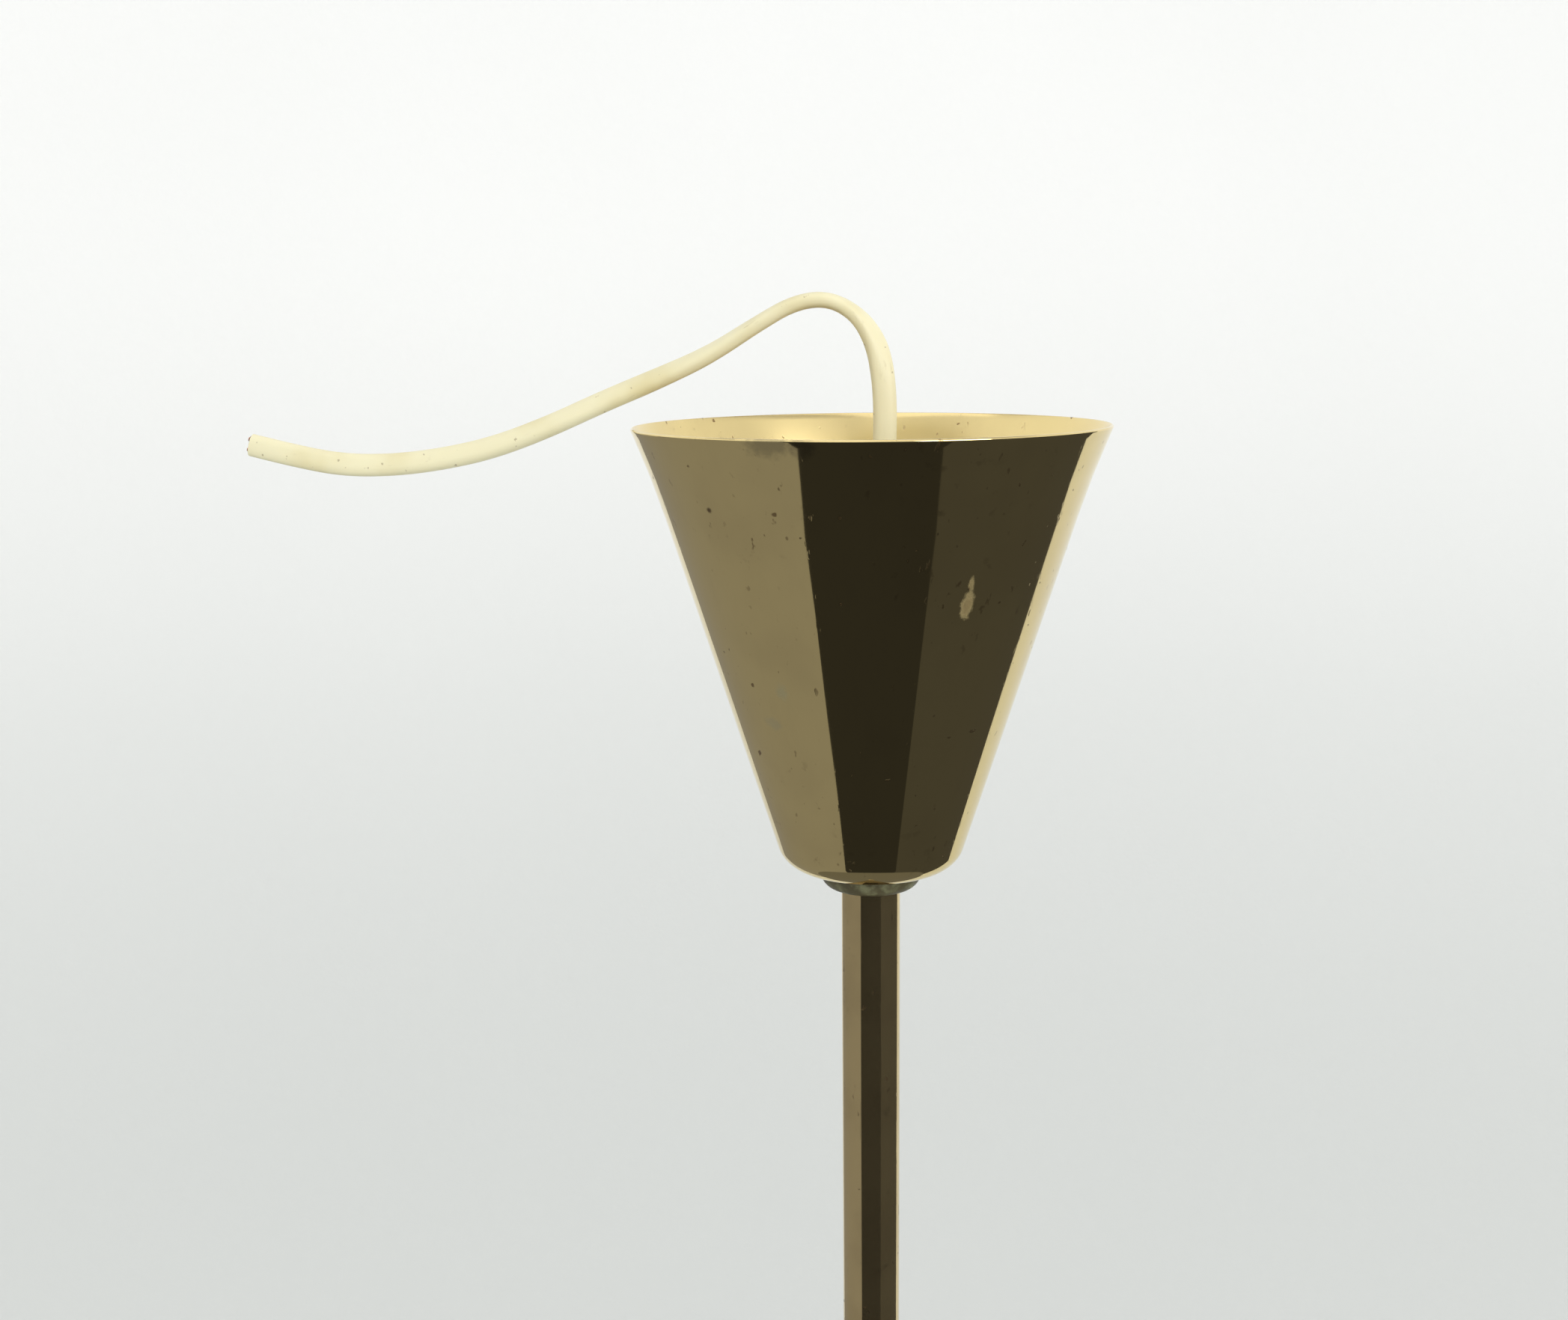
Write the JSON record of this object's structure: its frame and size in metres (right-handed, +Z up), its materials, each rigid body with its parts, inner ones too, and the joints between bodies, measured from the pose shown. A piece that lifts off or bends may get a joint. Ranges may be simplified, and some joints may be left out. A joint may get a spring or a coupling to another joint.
{
  "type": "pendant lamp suspension with ceiling cup",
  "caption": "Suspension of a ceiling pendant: conical brass cup on a rubber grommet, brass stem, hook yoke with cord grip and a flat supply cable.",
  "frame": {"origin": "centre of the arch of the hook yoke, on the stem's axis", "axes": "+Z up along the stem towards the ceiling, +X and -Z span the face that the free cable leaves across, -Y is the side of the cord grip's screw"},
  "size_m": [0.1928, 0.1012, 0.332],
  "materials": {
    "cup_brass": "polished, lacquered and aged",
    "stem_brass": "polished, lacquered and aged",
    "nipple_brass": "turned",
    "nut_brass": "turned",
    "zinc_steel": "zinc plated, dull",
    "screw_steel": "nickel plated",
    "grommet_rubber": "matt, slightly dusty",
    "grip_plastic": "satin moulded",
    "bush_plastic": "satin moulded",
    "cable_sheath": "aged soft plastic, faint dirt",
    "blue_insulation": "satin",
    "brown_insulation": "satin",
    "copper_wire": "cut copper"
  },
  "bodies": {
    "stem": {"stem_tube": "stem_brass", "top_nipple": "nipple_brass", "toothed_washer": "zinc_steel", "hook_yoke": "zinc_steel", "plain_washer": "zinc_steel", "yoke_nut": "nut_brass", "cord_grip_body": "grip_plastic", "lower_nipple": "nipple_brass", "lower_lock_nut": "nut_brass", "lower_end_bush": "bush_plastic", "cable_in_stem": "cable_sheath", "supply_cable": "cable_sheath", "core_blue": "blue_insulation", "core_brown": "brown_insulation", "conductor_blue_core": "copper_wire", "conductor_brown_core": "copper_wire"},
    "grommet": {"canopy_grommet": "grommet_rubber"},
    "canopy": {"canopy_cup": "cup_brass"},
    "grip_pad": {"cord_grip_pad": "grip_plastic"},
    "grip_screw": {"cord_grip_screw": "screw_steel"}
  },
  "joints": [
    {"name": "canopy_slide", "type": "slide", "parent": "stem", "child": "grommet", "axis": [0, 0, 1], "range_m": [-0.16, 0.003]},
    {"name": "cup_spin", "type": "hinge", "parent": "grommet", "child": "canopy", "pos_m": [0, 0, -0.0577], "axis": [0, 0, 1], "continuous": true},
    {"name": "grip_feed", "type": "slide", "parent": "stem", "child": "grip_pad", "axis": [0, -1, 0], "range_m": [0, 0.0014]},
    {"name": "grip_turn", "type": "hinge", "parent": "grip_pad", "child": "grip_screw", "pos_m": [0, -0.003, -0.0315], "axis": [0, -1, 0], "range_deg": [0, 720]}
  ],
  "couplings": [
    {"joint": "grip_turn", "follows": "grip_feed", "rad_per_m": 8975}
  ]
}
